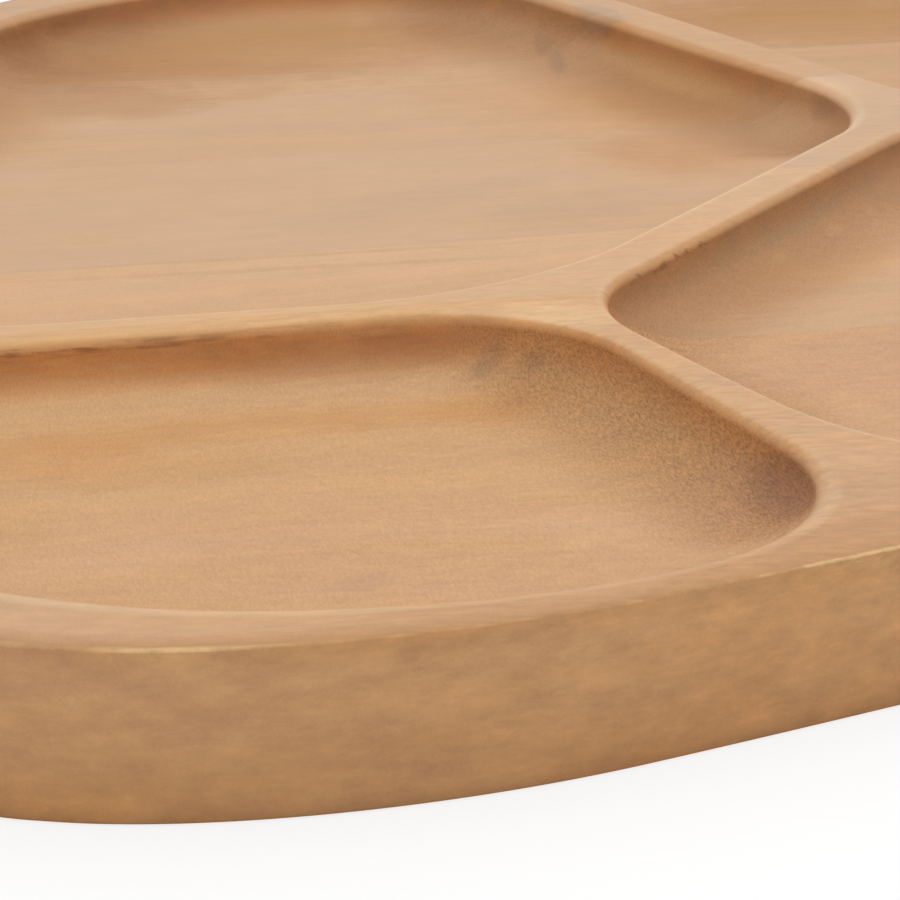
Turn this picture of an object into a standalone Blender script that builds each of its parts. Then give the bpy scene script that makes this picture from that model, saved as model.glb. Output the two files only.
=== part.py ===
"""Divided serving tray, carved from a blank of six staves glued edge to edge.

Metres, +Z up. The origin is the middle of the underside, and +X runs along the grain.
The glued blank is cut to a rounded outline, and six pockets with flat floors are carved
into its top. Narrow ridges with eased edges stay between them.
"""

import math

import bmesh
import bpy
import numpy as np

# The glued blank
LENGTH = 0.380
WIDTH = 0.264
THICKNESS = 0.020
TOP_ARRIS = 0.001
FOOT_ARRIS = 0.0005
GLUE_GAP = 0.0003

# The carving
POCKET_DEPTH = 0.008
POCKET_ARRIS = 0.001
COVE_RUN = 0.011
RIM = 0.008
RIDGE = 0.006
CORNER = 0.021

# How far the rough boards reach past the finished blank
OVERRUN = 0.004

# A corner keeps at least this much of its curve down in the cove
KEEN_SHARE = 0.2
# A corner's curve takes at most this much of each side that meets there
SIDE_SHARE = 0.48
# A curve's handles reach this far towards its corner
HANDLE_SHARE = 0.6

CORNER_STEPS = 6
ARRIS_STEPS = 3
EASED_STEPS = 2
COVE_STEPS = 5
SHARP_ANGLE = math.radians(40)

# The staves from the front edge to the back edge, each with its own shade
STAVES = {
    "front_edge_stave": (0.56, 0.33, 0.17),
    "front_stave": (0.60, 0.36, 0.19),
    "front_middle_stave": (0.58, 0.34, 0.18),
    "back_middle_stave": (0.62, 0.37, 0.21),
    "back_stave": (0.55, 0.31, 0.16),
    "back_edge_stave": (0.57, 0.34, 0.18),
}
ROUGHNESS = 0.55

# Corners of the outline, counter-clockwise, in shares of half the length and half the width.
# A foot is where a ridge meets the rim.
OUTLINE_SHARES = {
    "left_foot": (-1.04, -0.335),
    "front_left": (-0.92, -0.90),
    "front_bend": (-0.655, -1.05),
    "front_foot": (-0.24, -0.945),
    "right_front_foot": (0.36, -0.76),
    "front_right": (0.85, -0.55),
    "right_foot": (1.04, 0.015),
    "back_right": (0.92, 0.545),
    "right_back_foot": (0.59, 0.88),
    "back_foot": (-0.14, 1.015),
    "back_left": (-0.50, 0.955),
    "left_back": (-0.745, 0.68),
}

# Where ridges meet each other, in the same shares
JUNCTION_SHARES = {
    "left_junction": (-0.368, -0.348),
    "middle_junction": (0.10, 0.20),
    "front_junction": (0.40, -0.02),
    "right_junction": (0.59, 0.21),
}

# Each pocket's corners, counter-clockwise: the corner, then how far the wall stands in from
# the network's line before and after it, in rims or half ridges, then how much of a plain
# corner the curve takes before and after it
POCKET_SHARES = {
    "front_left_pocket": [
        ("left_foot", 1.8, 1.11, 1.6, 1.6),
        ("front_left", 1.11, 1.51, 1.4, 1.4),
        ("front_bend", 1.28, 0.55, 1.6, 1.6),
        ("front_foot", 0.83, 2.33, 1.8, 1.1),
        ("left_junction", 0.53, 1.07, 0.8, 1.1),
    ],
    "back_left_pocket": [
        ("left_junction", 0.73, 1.2, 1.2, 1.2),
        ("middle_junction", 1.2, 2.67, 0.85, 0.85),
        ("back_foot", 3.0, 1.28, 1.2, 1.2),
        ("back_left", 1.28, 1.28, 2.0, 2.0),
        ("left_back", 1.28, 1.28, 3.0, 3.0),
        ("left_foot", 1.28, 1.53, 2.8, 2.8),
    ],
    "front_middle_pocket": [
        ("left_junction", 1.47, 1.0, 0.6, 0.6),
        ("front_foot", 1.2, 1.0, 2.0, 2.0),
        ("right_front_foot", 1.0, 1.0, 1.0, 1.0),
        ("front_junction", 1.0, 1.0, 1.0, 1.0),
        ("middle_junction", 1.0, 1.47, 1.0, 1.0),
    ],
    "back_middle_pocket": [
        ("middle_junction", 0.47, 1.0, 0.5, 0.5),
        ("front_junction", 1.0, 1.0, 1.0, 1.0),
        ("right_junction", 1.0, 1.0, 1.0, 1.0),
        ("right_back_foot", 1.0, 1.0, 1.0, 1.0),
        ("back_foot", 1.0, 1.0, 1.0, 1.0),
    ],
    "front_right_pocket": [
        ("front_junction", 1.0, 1.0, 1.0, 1.0),
        ("right_front_foot", 1.0, 1.0, 1.0, 1.0),
        ("front_right", 1.0, 1.0, 2.0, 2.0),
        ("right_foot", 1.0, 1.0, 1.0, 1.0),
        ("right_junction", 1.0, 1.0, 1.0, 1.0),
    ],
    "back_right_pocket": [
        ("right_junction", 1.0, 1.0, 1.0, 1.0),
        ("right_foot", 1.0, 1.0, 1.0, 1.0),
        ("back_right", 1.0, 1.0, 2.0, 2.0),
        ("right_back_foot", 1.0, 1.0, 1.0, 1.0),
    ],
}


def clear_scene():
    """Remove what the scene holds."""
    for thing in list(bpy.data.objects):
        bpy.data.objects.remove(thing, do_unlink=True)


def unit(vector):
    """The vector at a length of one."""
    return vector / np.hypot(*vector)


def crossing(first, first_way, second, second_way):
    """Where two lines cross, each given by a point and a direction."""
    spread = first_way[0] * second_way[1] - first_way[1] * second_way[0]
    apart = second - first
    along = (apart[0] * second_way[1] - apart[1] * second_way[0]) / spread
    return first + first_way * along


def walls_inside(corners, insets):
    """Corners of the polygon whose sides stand in from the given one, by a start and an end each."""
    sides = []
    for here, there, (start, end) in zip(corners, corners[1:] + corners[:1], insets):
        way = unit(there - here)
        inward = np.array([-way[1], way[0]])
        begins = here + inward * start
        sides.append((begins, there + inward * end - begins))
    return [crossing(*sides[i - 1], *sides[i]) for i in range(len(sides))]


def setback(corner, before, after):
    """How far a corner's curve draws back along its sides for each unit that the wall moves in."""
    turn = math.acos(np.dot(unit(before - corner), unit(after - corner)))
    return 1 / math.tan(turn / 2)


def softened(corners, reaches):
    """A closed loop that rounds each corner with a cubic curve, from its reach before to its reach after."""
    t = np.linspace(0, 1, CORNER_STEPS + 1)[:, None]
    curves = []
    for i, corner in enumerate(corners):
        back = corners[i - 1] - corner
        ahead = corners[(i + 1) % len(corners)] - corner
        start = corner + unit(back) * min(reaches[i][0], SIDE_SHARE * np.hypot(*back))
        end = corner + unit(ahead) * min(reaches[i][1], SIDE_SHARE * np.hypot(*ahead))
        first = start + (corner - start) * HANDLE_SHARE
        second = end + (corner - end) * HANDLE_SHARE
        curves.append(
            (1 - t) ** 3 * start + 3 * (1 - t) ** 2 * t * first + 3 * (1 - t) * t**2 * second + t**3 * end
        )
    return np.concatenate(curves)


def network():
    """The tray's outline, and the places of all corners and junctions, fitted to the tray's size."""
    half = np.array([LENGTH, WIDTH]) / 2
    places = {name: np.array(share) * half for name, share in (OUTLINE_SHARES | JUNCTION_SHARES).items()}
    corners = [places[name] for name in OUTLINE_SHARES]
    loop = softened(corners, [(math.inf, math.inf)] * len(corners))
    low = loop.min(axis=0)
    high = loop.max(axis=0)
    middle = (low + high) / 2
    stretch = 2 * half / (high - low)
    fitted = {name: (place - middle) * stretch for name, place in places.items()}
    return (loop - middle) * stretch, fitted


def pocket_loop(rows, places, inside):
    """The loop of one pocket at a distance inside its wall. Its corners tighten as it moves in."""
    insets = []
    for row, after in zip(rows, rows[1:] + rows[:1]):
        on_rim = row[0] in OUTLINE_SHARES and after[0] in OUTLINE_SHARES
        band = RIM if on_rim else RIDGE / 2
        insets.append((band * row[2] + inside, band * after[1] + inside))
    corners = walls_inside([places[row[0]] for row in rows], insets)
    reaches = []
    for i, row in enumerate(rows):
        less = inside * setback(corners[i], corners[i - 1], corners[(i + 1) % len(corners)])
        full = (CORNER * row[3], CORNER * row[4])
        reaches.append([max(reach - less, KEEN_SHARE * reach) for reach in full])
    return softened(corners, reaches)


def moved_in(loop, by):
    """The closed loop moved in by a distance, square to its sides."""
    before = loop - np.roll(loop, 1, axis=0)
    after = np.roll(loop, -1, axis=0) - loop
    before /= np.linalg.norm(before, axis=1, keepdims=True)
    after /= np.linalg.norm(after, axis=1, keepdims=True)
    way = before + after
    way /= np.linalg.norm(way, axis=1, keepdims=True)
    inward = np.column_stack([-way[:, 1], way[:, 0]])
    straight = (way * before).sum(axis=1, keepdims=True)
    return loop + inward * by / straight


def quarter(run, rise, steps):
    """A quarter of an ellipse that starts upright at zero and turns level, by its run and its rise."""
    turn = np.linspace(0, math.pi / 2, steps + 1)
    return np.column_stack([run * (1 - np.cos(turn)), rise * np.sin(turn)])


def blank_profile():
    """The blank's edge from the underside to the top: distance in from the outline, and height."""
    foot = quarter(FOOT_ARRIS, FOOT_ARRIS, EASED_STEPS)[::-1]
    top = quarter(TOP_ARRIS, TOP_ARRIS, EASED_STEPS)
    return np.concatenate([
        np.column_stack([foot[:, 0], FOOT_ARRIS - foot[:, 1]]),
        np.column_stack([top[:, 0], THICKNESS - TOP_ARRIS + top[:, 1]]),
    ])


def pocket_profile():
    """A pocket's side from its floor up: distance in from the wall, and height.

    A cove, a quarter of an ellipse, leads from the floor to the arris, which ends level with
    the top. The arris's last facet runs on as far again, past the top face, so that the cut's
    edge falls inside the facet.
    """
    shoulder = THICKNESS - POCKET_ARRIS
    cove = quarter(COVE_RUN, POCKET_DEPTH - POCKET_ARRIS, COVE_STEPS)[::-1]
    arris = quarter(POCKET_ARRIS, POCKET_ARRIS, ARRIS_STEPS)[1:]
    rise = np.column_stack([-arris[:, 0], shoulder + arris[:, 1]])
    run_on = 2 * rise[-1:] - rise[-2:-1]
    return np.concatenate([
        np.column_stack([cove[:, 0], shoulder - cove[:, 1]]),
        rise[:-1],
        run_on,
    ])


def body_from(name, bm):
    """A linked object that takes its mesh from bm."""
    mesh = bpy.data.meshes.new(name)
    bm.to_mesh(mesh)
    bm.free()
    body = bpy.data.objects.new(name, mesh)
    bpy.context.scene.collection.objects.link(body)
    return body


def lofted(name, loops, heights):
    """A closed body through level loops of as many points each, flat below and above."""
    bm = bmesh.new()
    rings = [[bm.verts.new((x, y, height)) for x, y in loop] for loop, height in zip(loops, heights)]
    count = len(rings[0])
    for low, high in zip(rings, rings[1:]):
        for i in range(count):
            j = (i + 1) % count
            bm.faces.new((low[i], low[j], high[j], high[i]))
    bm.faces.new(reversed(rings[0]))
    bm.faces.new(rings[-1])
    body = body_from(name, bm)
    body.data.shade_smooth()
    body.data.set_sharp_from_angle(angle=SHARP_ANGLE)
    return body


def shape_with(body, tool, operation):
    """Cut the body with the tool, or keep what the two share. The tool is hidden."""
    modifier = body.modifiers.new(tool.name, "BOOLEAN")
    modifier.operation = operation
    modifier.solver = "EXACT"
    modifier.object = tool
    tool.hide_render = True
    tool.display_type = "WIRE"


def carved_blank():
    """The guide for all staves: the blank in its outline, with the pockets cut out of it."""
    outline, places = network()
    insides, heights = blank_profile().T
    blank = lofted("carved_blank", [moved_in(outline, inside) for inside in insides], heights)
    insides, heights = pocket_profile().T
    for name, rows in POCKET_SHARES.items():
        pocket = lofted(name, [pocket_loop(rows, places, inside) for inside in insides], heights)
        shape_with(blank, pocket, "DIFFERENCE")
    return blank


def rough_board(name, width):
    """A straight board, longer and thicker than the tray, on its own origin."""
    bm = bmesh.new()
    bmesh.ops.create_cube(bm, size=1)
    size = (LENGTH + 2 * OVERRUN, width, THICKNESS + 2 * OVERRUN)
    bmesh.ops.scale(bm, vec=size, verts=bm.verts)
    return body_from(name, bm)


def oiled_wood(name, colour):
    """A plain oiled wood in the stave's shade."""
    material = bpy.data.materials.new(name)
    material.use_nodes = True
    shader = material.node_tree.nodes["Principled BSDF"]
    shader.inputs["Base Color"].default_value = (*colour, 1)
    shader.inputs["Roughness"].default_value = ROUGHNESS
    shader.inputs["Metallic"].default_value = 0
    return material


def staves(blank, tray):
    """The six boards, each kept where the carved blank is, with a glue gap between neighbours."""
    pitch = WIDTH / len(STAVES)
    for row, (name, colour) in enumerate(STAVES.items()):
        front = row * pitch - WIDTH / 2
        low = front + GLUE_GAP / 2 if row else front - OVERRUN
        high = front + pitch - GLUE_GAP / 2 if row < len(STAVES) - 1 else front + pitch + OVERRUN
        stave = rough_board(name, high - low)
        stave.location = (0, (low + high) / 2, THICKNESS / 2)
        stave.parent = tray
        stave.data.materials.append(oiled_wood(name, colour))
        shape_with(stave, blank, "INTERSECT")


def main():
    clear_scene()
    tray = bpy.data.objects.new("tray", None)
    bpy.context.scene.collection.objects.link(tray)
    staves(carved_blank(), tray)


main()
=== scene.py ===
# %% [markdown]
# # A divided serving tray, carved from six glued staves
#
# The real tray starts as six boards glued edge to edge. The blank is sawn to a free rounded
# outline, six pockets are routed into its top, every edge is sanded round and the wood is
# oiled. This lesson follows the same order: one carved skin is worked out with numpy, it is
# sawn into its six staves again, and each stave gets its own wood.

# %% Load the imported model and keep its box
import math

import bmesh
import bpy
import numpy as np
from mathutils import Matrix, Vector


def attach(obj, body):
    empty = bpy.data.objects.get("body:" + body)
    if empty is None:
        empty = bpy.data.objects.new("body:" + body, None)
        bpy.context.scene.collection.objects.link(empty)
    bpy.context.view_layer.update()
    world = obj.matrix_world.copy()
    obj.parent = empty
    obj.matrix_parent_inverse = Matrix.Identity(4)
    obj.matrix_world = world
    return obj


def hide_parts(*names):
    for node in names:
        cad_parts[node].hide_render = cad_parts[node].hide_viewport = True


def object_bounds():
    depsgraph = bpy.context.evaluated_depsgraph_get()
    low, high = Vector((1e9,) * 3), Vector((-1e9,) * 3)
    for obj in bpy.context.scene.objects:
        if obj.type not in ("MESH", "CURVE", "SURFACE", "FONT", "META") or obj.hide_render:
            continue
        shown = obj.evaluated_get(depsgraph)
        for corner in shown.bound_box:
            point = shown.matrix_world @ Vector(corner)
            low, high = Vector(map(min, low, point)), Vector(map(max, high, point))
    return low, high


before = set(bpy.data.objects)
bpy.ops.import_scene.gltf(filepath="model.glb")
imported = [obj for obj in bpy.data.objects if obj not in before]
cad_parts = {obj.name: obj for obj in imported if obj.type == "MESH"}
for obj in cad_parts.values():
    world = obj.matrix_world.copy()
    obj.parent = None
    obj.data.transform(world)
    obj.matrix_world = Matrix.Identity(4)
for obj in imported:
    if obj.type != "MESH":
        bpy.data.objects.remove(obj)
cad_box = [list(corner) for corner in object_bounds()]
low, high = (np.array(corner) for corner in cad_box)
LENGTH, WIDTH, THICKNESS = high - low
MM = 1000
print("The tray measures", np.round((high - low) * MM, 1), "mm, in", len(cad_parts), "staves")

# %% [markdown]
# ## The camera
#
# The photograph is a close view from the front left: the camera stands about 0.45 m away,
# looks 18.5 degrees to the right of straight ahead and 23 degrees down, and is tilted a
# little. It could be turned by hand until the view fits. Here it is placed by its own three
# axes, right, up, and back towards the viewer, because a matrix of these is exact.

# %% The camera
TURN = math.radians(18.5)
DOWN = math.radians(23)
TILT = math.radians(2.3)
CAMERA_PLACE = (-0.1959, -0.3834, 0.1514)
LENS = 120
NEAREST = 0.01

right = np.array([math.cos(TURN), -math.sin(TURN), 0])
level_ahead = np.array([math.sin(TURN), math.cos(TURN), 0])
ahead = level_ahead * math.cos(DOWN) - np.array([0, 0, math.sin(DOWN)])
up = np.cross(right, ahead)
axes = np.column_stack([
    math.cos(TILT) * right + math.sin(TILT) * up,
    math.cos(TILT) * up - math.sin(TILT) * right,
    -ahead,
    CAMERA_PLACE,
])
camera = bpy.data.objects.new("camera", bpy.data.cameras.new("camera"))
camera.data.lens = LENS
camera.data.clip_start = NEAREST
camera.matrix_world = Matrix([*axes.tolist(), [0, 0, 0, 1]])
bpy.context.scene.collection.objects.link(camera)
bpy.context.scene.camera = camera
print("Camera", round(float(np.linalg.norm(CAMERA_PLACE)), 3), "m from the middle of the tray")

# %% [markdown]
# ## The plan of the tray
#
# The outline and the ridges form one network of straight lines: every pocket is a polygon
# between them whose corners are rounded. The corners are given in shares of half the length
# and half the width. These are the same shares from which the solid was made.

# %% The network of corners
OUTLINE_SHARES = {
    "left_foot": (-1.04, -0.335),
    "front_left": (-0.92, -0.90),
    "front_bend": (-0.655, -1.05),
    "front_foot": (-0.24, -0.945),
    "right_front_foot": (0.36, -0.76),
    "front_right": (0.85, -0.55),
    "right_foot": (1.04, 0.015),
    "back_right": (0.92, 0.545),
    "right_back_foot": (0.59, 0.88),
    "back_foot": (-0.14, 1.015),
    "back_left": (-0.50, 0.955),
    "left_back": (-0.745, 0.68),
}
JUNCTION_SHARES = {
    "left_junction": (-0.368, -0.348),
    "middle_junction": (0.10, 0.20),
    "front_junction": (0.40, -0.02),
    "right_junction": (0.59, 0.21),
}
print(len(OUTLINE_SHARES), "corners in the outline and", len(JUNCTION_SHARES), "where ridges meet")

# %% [markdown]
# Each pocket lists its corners counter-clockwise. After a corner's name come how far its wall
# stands in before and after it, in rims or half ridges, and how much of a plain corner's curve
# it takes before and after. The unseen pockets at the right keep plain values.

# %% The pockets
PLAIN = (1.0, 1.0, 1.0, 1.0)
POCKET_SHARES = {
    "front_left": [
        ("left_foot", 1.8, 1.11, 1.6, 1.6),
        ("front_left", 1.11, 1.51, 1.4, 1.4),
        ("front_bend", 1.28, 0.55, 1.6, 1.6),
        ("front_foot", 0.83, 2.33, 1.8, 1.1),
        ("left_junction", 0.53, 1.07, 0.8, 1.1),
    ],
    "back_left": [
        ("left_junction", 0.73, 1.2, 1.2, 1.2),
        ("middle_junction", 1.2, 2.67, 0.85, 0.85),
        ("back_foot", 3.0, 1.28, 1.2, 1.2),
        ("back_left", 1.28, 1.28, 2.0, 2.0),
        ("left_back", 1.28, 1.28, 3.0, 3.0),
        ("left_foot", 1.28, 1.53, 2.8, 2.8),
    ],
    "front_middle": [
        ("left_junction", 1.47, 1.0, 0.6, 0.6),
        ("front_foot", 1.2, 1.0, 2.0, 2.0),
        ("right_front_foot", *PLAIN),
        ("front_junction", *PLAIN),
        ("middle_junction", 1.0, 1.47, 1.0, 1.0),
    ],
    "back_middle": [
        ("middle_junction", 0.47, 1.0, 0.5, 0.5),
        ("front_junction", *PLAIN),
        ("right_junction", *PLAIN),
        ("right_back_foot", *PLAIN),
        ("back_foot", *PLAIN),
    ],
    "front_right": [
        ("front_junction", *PLAIN),
        ("right_front_foot", *PLAIN),
        ("front_right", 1.0, 1.0, 2.0, 2.0),
        ("right_foot", *PLAIN),
        ("right_junction", *PLAIN),
    ],
    "back_right": [
        ("right_junction", *PLAIN),
        ("right_foot", *PLAIN),
        ("back_right", 1.0, 1.0, 2.0, 2.0),
        ("right_back_foot", *PLAIN),
    ],
}
print(len(POCKET_SHARES), "pockets:", ", ".join(POCKET_SHARES))

# %% [markdown]
# ## Rounded loops
#
# Sanding rounds a corner so that its curve has no sudden start, unlike an arc of a circle.
# A bevel of the corner would give such an arc. A cubic curve with its handles pulled towards
# the corner starts softly, as the wood does. All corners are worked out at once, as arrays.

# %% Round the corners of a polygon
SIDE_SHARE = 0.48
HANDLE_SHARE = 0.6


def unit(ways):
    """Every vector at a length of one."""
    return ways / np.linalg.norm(ways, axis=-1, keepdims=True)


def softened(corners, before, after, curve_steps, side_steps):
    """Closed loops from polygons, given as rows of corners; the corners may be many rows deep.

    Each corner becomes the cubic (1-t)^3 start + 3(1-t)^2 t first + 3(1-t) t^2 second + t^3 end,
    where start and end lie on its sides and both handles point at the corner. Straight points
    lead from each curve's end to the next one's start.
    """
    back = np.roll(corners, 1, axis=-2) - corners
    ahead = np.roll(corners, -1, axis=-2) - corners
    reach_back = np.minimum(before, SIDE_SHARE * np.linalg.norm(back, axis=-1))
    reach_ahead = np.minimum(after, SIDE_SHARE * np.linalg.norm(ahead, axis=-1))
    start = corners + unit(back) * reach_back[..., None]
    end = corners + unit(ahead) * reach_ahead[..., None]
    first = start + (corners - start) * HANDLE_SHARE
    second = end + (corners - end) * HANDLE_SHARE
    start, first, second, end = (a[..., None, :] for a in (start, first, second, end))
    t = np.linspace(0, 1, curve_steps)[:, None]
    curve = (1 - t) ** 3 * start + 3 * (1 - t) ** 2 * t * first
    curve = curve + 3 * (1 - t) * t**2 * second + t**3 * end
    s = np.linspace(0, 1, side_steps + 2)[1:-1, None]
    side = end + (np.roll(start, -1, axis=-3) - end) * s
    loops = np.concatenate([curve, side], axis=-2)
    return loops.reshape(*corners.shape[:-2], -1, 2)


square = np.array([[0, 0], [1, 0], [1, 1], [0, 1]])
print("A square becomes a loop of", len(softened(square, 0.3, 0.3, 9, 3)), "points")

# %% [markdown]
# The outline takes as much of each side as it can, so it has hardly a straight stretch left.
# It is then fitted to the tray's length and width, and the junctions go with it. A curve drawn
# by hand would do too, but would not agree with the solid.

# %% The outline
half = np.array([LENGTH, WIDTH]) / 2
names = [*OUTLINE_SHARES, *JUNCTION_SHARES]
shares = np.array([*OUTLINE_SHARES.values(), *JUNCTION_SHARES.values()]) * half
rim_corners = shares[: len(OUTLINE_SHARES)]
outline = softened(rim_corners, np.inf, np.inf, curve_steps=44, side_steps=3)
middle = (outline.min(axis=0) + outline.max(axis=0)) / 2
stretch = 2 * half / np.ptp(outline, axis=0)
outline = (outline - middle) * stretch
places = dict(zip(names, (shares - middle) * stretch))
print("The outline:", len(outline), "points over", np.round(np.ptp(outline, axis=0) * MM, 1), "mm")

# %% [markdown]
# ## A pocket's walls
#
# A pocket's side is one profile: the rolled edge at the top, the cove under it and the slightly
# dished floor. Each height of the profile needs its own loop, a little further inside.
# Moving the straight walls in, and giving the corners a shorter curve, keeps these loops clean,
# where moving the curve itself would fold it.

# %% Loops inside a pocket's wall
RIM = 0.008
RIDGE = 0.006
CORNER = 0.021
KEEN_SHARE = 0.2


def crossed(a, b):
    """The cross product of flat vectors: a_x b_y - a_y b_x."""
    return a[..., 0] * b[..., 1] - a[..., 1] * b[..., 0]


def walls_inside(corners, start, end):
    """Corners of polygons whose sides stand in from the given one by a start and an end each.

    Side i runs from its corner moved square inwards by start to the next corner moved by end.
    The new corner is where side i-1 and side i cross: p + u (q - p) x v / (u x v).
    """
    way = unit(np.roll(corners, -1, axis=0) - corners)
    inward = np.column_stack([-way[:, 1], way[:, 0]])
    q = corners + inward * start[..., None]
    v = np.roll(corners, -1, axis=0) + inward * end[..., None] - q
    p, u = np.roll(q, 1, axis=-2), np.roll(v, 1, axis=-2)
    return p + u * (crossed(q - p, v) / crossed(u, v))[..., None]


def along_rim(rows):
    """Which sides of a pocket run beside the rim, and not beside a ridge."""
    on_rim = np.array([row[0] in OUTLINE_SHARES for row in rows])
    return on_rim & np.roll(on_rim, -1)


def stand_in(rows):
    """How far each side's wall stands in from the network at its start and at its end."""
    table = np.array([row[1:3] for row in rows])
    band = np.where(along_rim(rows), RIM, RIDGE / 2)
    return band * table[:, 1], band * np.roll(table[:, 0], -1)


def pocket_loops(rows, start_in, end_in):
    """One loop for each row of distances inside a pocket's wall, at its sides' starts and ends.

    A corner's curve gets shorter as its walls move in: reach - moved / tan(half the corner), and
    never less than a keen share of the reach.
    """
    corners = np.array([places[row[0]] for row in rows])
    start, end = stand_in(rows)
    inner = walls_inside(corners, start + start_in, end + end_in)
    back = unit(np.roll(inner, 1, axis=-2) - inner)
    ahead = unit(np.roll(inner, -1, axis=-2) - inner)
    setback = 1 / np.tan(np.arccos((back * ahead).sum(axis=-1)) / 2)
    reach = CORNER * np.array([row[3:] for row in rows]).T[:, None]
    moved = (start_in + np.roll(end_in, 1, axis=1)) / 2
    reach = np.maximum(reach - moved * setback, KEEN_SHARE * reach)
    return softened(inner, reach[0], reach[1], curve_steps=26, side_steps=34)


for name, rows in POCKET_SHARES.items():
    mouth = pocket_loops(rows, *np.zeros((2, 1, len(rows))))[0]
    print(name, "pocket spans", np.round(np.ptp(mouth, axis=0) * MM), "mm between its walls")

# %% [markdown]
# The land does not end in a sharp corner: sanding has rolled it over. The roll takes about half
# of the land beside it, up to 4 mm beside the rim. It ends at a lean of 18 degrees, and the
# cove, a quarter of an ellipse, starts at one of 10 degrees, so the wall between them leans too.
# A bevel would make an even round, and a real sanded edge starts flatter than it ends.

# %% The profile of a wall, from the land down
ROLL_HEIGHT = 0.0026
ROLL_MOST = 0.0042
ROLL_SHARE = 0.55
ROLL_LEAN = math.radians(18)
ROLL_POWER = 0.8
ROLL_ROWS = 18
DEPTH = 0.008
DISH = 0.0006
COVE_RUN = 0.0112
COVE_LEAN = math.radians(10)
COVE_ROWS = 16
ROLL_DEPTH = ROLL_HEIGHT * (1 - math.sin(ROLL_LEAN) ** ROLL_POWER)
COVE_DEPTH = DEPTH - ROLL_DEPTH - DISH
COVE_RISE = COVE_DEPTH / (1 - math.sin(COVE_LEAN))


def wall_profile(land):
    """How far inside the wall each row of a profile lies, for each width of land, and its height.

    Roll: inside = w (cos(turn)^p - cos(lean)^p), height = top - h (1 - sin(turn)^p), from a quarter
    turn down to its lean; the power p makes it start flatter than an ellipse. Cove: inside = run
    (cos(lean) - cos(turn)), height = shoulder - rise (sin(turn) - sin(lean)).
    """
    turn = np.linspace(np.pi / 2, ROLL_LEAN, ROLL_ROWS)
    roll_out = np.maximum(np.cos(turn), 0) ** ROLL_POWER - math.cos(ROLL_LEAN) ** ROLL_POWER
    roll_in = roll_out[:, None] * np.minimum(land * ROLL_SHARE, ROLL_MOST)
    roll_z = THICKNESS - ROLL_HEIGHT * (1 - np.sin(turn) ** ROLL_POWER)
    turn = np.linspace(COVE_LEAN, np.pi / 2, COVE_ROWS)[1:]
    cove_in = COVE_RUN * (math.cos(COVE_LEAN) - np.cos(turn))[:, None] * np.ones(len(land))
    cove_z = THICKNESS - ROLL_DEPTH - COVE_RISE * (np.sin(turn) - math.sin(COVE_LEAN))
    return np.concatenate([roll_in, cove_in]), np.concatenate([roll_z, cove_z])


drops = np.array([ROLL_DEPTH, COVE_DEPTH, DISH])
print("Roll, cove and dish go down by", np.round(drops * MM, 2), "mm")

# %% [markdown]
# ## Marks for the wood
#
# The wood looks different where the carving opened end grain, where a wall is steep and on the
# sanded edge. Some marks also carry painted light: a painted shade that runs from walls across
# the grain out over the floor, and painted highlights on the rolls and on the upper outer edge.
# These places could be painted by hand as a texture. Here each point stores them
# as numbers from 0 to 1, so that the marks follow every change of the shape. Most are ramps of
# how far a point lies inside the wall's top, and of which way the wall looks: inward x is along
# the grain, and inward y to the back of the tray.

# %% What a pocket tells the wood
END_GAIN = 1.5
CARVED_POWER = 4
CREST_POWER = 0.66
CREST_LEAST = 0.2
CREST_TURN = (0, 2 / 3)
GOLDEN_START = (0.3, 0.45)
GOLDEN_RUN = (0.0026, 0.0006)
GOLDEN_TURN = (0.5, -0.5)
GOLDEN_LEAST = 0.15
OPEN_TURN = (0.7, 0.3)
STEEP_RUN = (0.0042, 0.0012)
LIP_PLACE = 0.0002
LIP_HALF = 0.0005


def ramp(value, start, end):
    """How far a value has come from start to end: (value - start) / (end - start), from 0 to 1."""
    return np.clip((value - start) / (end - start), 0, 1)


def pocket_marks(inside, inward, grain_run):
    """The marks of a pocket's grid, from the distances inside the wall and the way inwards.

    On the roll they follow its rows' share of the way down: carved = share^4, and the painted
    highlight on the crest is sin(pi share^0.66), full where the wall looks to the back. End grain
    opens where inward x is large; its darkening, which fades over grain_run out across the floor,
    is partly painted shade. The roll of a wall that looks to the front is golden, with painted
    shade.
    """
    share = np.linspace(0, 1, ROLL_ROWS)[:, None]
    ends = np.minimum(END_GAIN * np.abs(inward[:, 0]), 1)
    to_back = inward[:, 1]
    carved = np.ones_like(inside)
    carved[:ROLL_ROWS] = share**CARVED_POWER
    roll_highlight = np.zeros_like(inside)
    # Where the painted highlight on the roll is full: on walls that look to the back.
    crest = CREST_LEAST + (1 - CREST_LEAST) * ramp(to_back, *CREST_TURN)
    roll_highlight[:ROLL_ROWS] = np.sin(np.pi * share**CREST_POWER) * crest
    golden = ramp(inside, *GOLDEN_RUN)
    golden[:ROLL_ROWS] = ramp(share, *GOLDEN_START)
    # Walls that look to the front get a golden roll that also carries painted shade.
    facing = ramp(to_back, *GOLDEN_TURN) * (GOLDEN_LEAST + (1 - GOLDEN_LEAST) * ends)
    return {
        "carved": carved,
        # End grain on the wall; its darkening that runs out over the floor is painted shade.
        "open_grain_and_shade": carved * ends * ramp(to_back, *OPEN_TURN) * ramp(inside, grain_run, 0),
        "steep": carved * (1 - ends) * ramp(inside, *STEEP_RUN),
        "lip": ramp(np.abs(inside + LIP_PLACE), LIP_HALF, 0),
        "roll_highlight": roll_highlight,
        "golden_and_shaded_roll": golden * facing,
    }


print("A wall counts as steep down to", STEEP_RUN[0] * MM, "mm inside it")

# %% [markdown]
# ## One pocket
#
# A pocket could be cut out of a block with a boolean, but the cut would leave no order in its
# points. Here it is one grid: its rings follow the wall down and then close over the floor in a
# pole. A hand-held router wavers a little, so a smooth closed noise moves the wall.

# %% One pocket as a grid
DISH_RUN = 0.022
FLOOR_ROWS = 16
WOBBLE = 0.00018


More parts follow.
